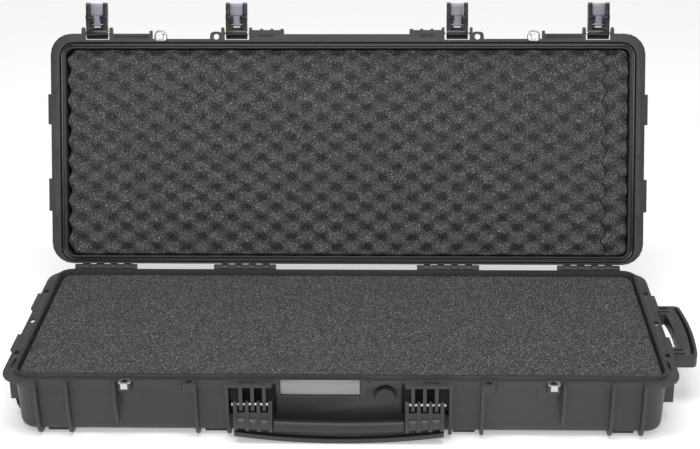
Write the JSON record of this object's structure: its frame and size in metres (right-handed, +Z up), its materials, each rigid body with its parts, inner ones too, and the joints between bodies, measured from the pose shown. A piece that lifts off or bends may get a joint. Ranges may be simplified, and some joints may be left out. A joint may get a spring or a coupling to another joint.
{
  "type": "hard equipment case",
  "caption": "Long wheeled hard equipment case, open, with foam in both halves, hinged lid, over-centre latches, a front carrying handle and an end tow handle.",
  "frame": {"origin": "on the floor under the middle of the base, on the underside of the centre runner", "axes": "+X along the length towards the tow handle, +Y towards the hinges at the back, +Z up"},
  "size_m": [1.0418, 0.5832, 0.5147],
  "materials": {
    "shell_plastic": "fine-grained moulded polypropylene, dark grey",
    "dark_plastic": "smooth black moulded plastic",
    "handle_plastic": "satin dark grey moulded plastic",
    "grip_rubber": "soft ribbed grip",
    "lever_plastic": "satin lavender-grey moulded plastic",
    "foam": "open-cell dark grey foam",
    "seal_rubber": "glossy black seal",
    "tyre_rubber": "matt black tyre",
    "steel": "bright stainless steel",
    "nameplate_metal": "satin plate, blank"
  },
  "bodies": {
    "base": {"base_shell": "shell_plastic", "base_foam_lower": "foam", "base_foam_upper": "foam", "nameplate": "nameplate_metal", "valve_body": "dark_plastic", "valve_seal": "seal_rubber", "valve_nut": "steel", "front_handle_pin_left": "steel", "front_handle_pin_right": "steel", "tow_handle_pin_front": "steel", "tow_handle_pin_rear": "steel", "base_padlock_plate_left": "steel", "base_padlock_plate_right": "steel", "wheel_front_axle": "steel", "wheel_rear_axle": "steel", "hinge_pin_1": "steel", "hinge_pin_2": "steel", "hinge_pin_3": "steel", "hinge_pin_4": "steel"},
    "lid": {"lid_shell": "shell_plastic", "lid_gasket": "seal_rubber", "lid_foam_main": "foam", "lid_foam_end": "foam", "lid_padlock_plate_left": "steel", "lid_padlock_plate_right": "steel", "latch_1_pin": "steel", "latch_2_pin": "steel", "latch_3_pin": "steel", "latch_4_pin": "steel"},
    "front_handle": {"front_handle_frame": "handle_plastic", "front_handle_grip": "grip_rubber"},
    "tow_handle": {"tow_handle": "handle_plastic"},
    "wheel_front": {"wheel_front_hub": "dark_plastic", "wheel_front_tyre": "tyre_rubber"},
    "wheel_rear": {"wheel_rear_hub": "dark_plastic", "wheel_rear_tyre": "tyre_rubber"},
    "valve_knob": {"valve_knob": "dark_plastic"},
    "latch_1": {"latch_1_body": "dark_plastic", "latch_1_lever_pin": "steel"},
    "lever_1": {"latch_1_lever": "lever_plastic"},
    "latch_2": {"latch_2_body": "dark_plastic", "latch_2_lever_pin": "steel"},
    "lever_2": {"latch_2_lever": "lever_plastic"},
    "latch_3": {"latch_3_body": "dark_plastic", "latch_3_lever_pin": "steel"},
    "lever_3": {"latch_3_lever": "lever_plastic"},
    "latch_4": {"latch_4_body": "dark_plastic", "latch_4_lever_pin": "steel"},
    "lever_4": {"latch_4_lever": "lever_plastic"}
  },
  "joints": [
    {"name": "lid_hinge", "type": "hinge", "parent": "base", "child": "lid", "pos_m": [0, 0.1933, 0.0984], "axis": [1, 0, 0], "range_deg": [0, 109.6]},
    {"name": "latch_1_turn", "type": "hinge", "parent": "lid", "child": "latch_1", "pos_m": [-0.417, 0.33112, 0.46576], "axis": [1, 0, 0], "range_deg": [0, 90]},
    {"name": "latch_2_turn", "type": "hinge", "parent": "lid", "child": "latch_2", "pos_m": [-0.1835, 0.33112, 0.46576], "axis": [1, 0, 0], "range_deg": [0, 90]},
    {"name": "latch_3_turn", "type": "hinge", "parent": "lid", "child": "latch_3", "pos_m": [0.1835, 0.33112, 0.46576], "axis": [1, 0, 0], "range_deg": [0, 90]},
    {"name": "latch_4_turn", "type": "hinge", "parent": "lid", "child": "latch_4", "pos_m": [0.417, 0.33112, 0.46576], "axis": [1, 0, 0], "range_deg": [0, 90]},
    {"name": "lever_1_lift", "type": "hinge", "parent": "latch_1", "child": "lever_1", "pos_m": [-0.417, 0.33598, 0.47941], "axis": [-1, 0, 0], "range_deg": [0, 40]},
    {"name": "lever_2_lift", "type": "hinge", "parent": "latch_2", "child": "lever_2", "pos_m": [-0.1835, 0.33598, 0.47941], "axis": [-1, 0, 0], "range_deg": [0, 40]},
    {"name": "lever_3_lift", "type": "hinge", "parent": "latch_3", "child": "lever_3", "pos_m": [0.1835, 0.33598, 0.47941], "axis": [-1, 0, 0], "range_deg": [0, 40]},
    {"name": "lever_4_lift", "type": "hinge", "parent": "latch_4", "child": "lever_4", "pos_m": [0.417, 0.33598, 0.47941], "axis": [-1, 0, 0], "range_deg": [0, 40]},
    {"name": "front_handle_swing", "type": "hinge", "parent": "base", "child": "front_handle", "pos_m": [0, -0.201, 0.063], "axis": [-1, 0, 0], "range_deg": [-6, 90]},
    {"name": "tow_handle_swing", "type": "hinge", "parent": "base", "child": "tow_handle", "pos_m": [0.4885, 0, 0.0735], "axis": [0, 1, 0], "range_deg": [0, 85]},
    {"name": "wheel_front_roll", "type": "hinge", "parent": "base", "child": "wheel_front", "pos_m": [-0.4623, -0.12, 0.0277], "axis": [0, 1, 0], "continuous": true},
    {"name": "wheel_rear_roll", "type": "hinge", "parent": "base", "child": "wheel_rear", "pos_m": [-0.4623, 0.12, 0.0277], "axis": [0, 1, 0], "continuous": true},
    {"name": "valve_turn", "type": "hinge", "parent": "base", "child": "valve_knob", "pos_m": [0.0675, -0.1913, 0.071], "axis": [0, -1, 0], "range_deg": [0, 180]}
  ]
}
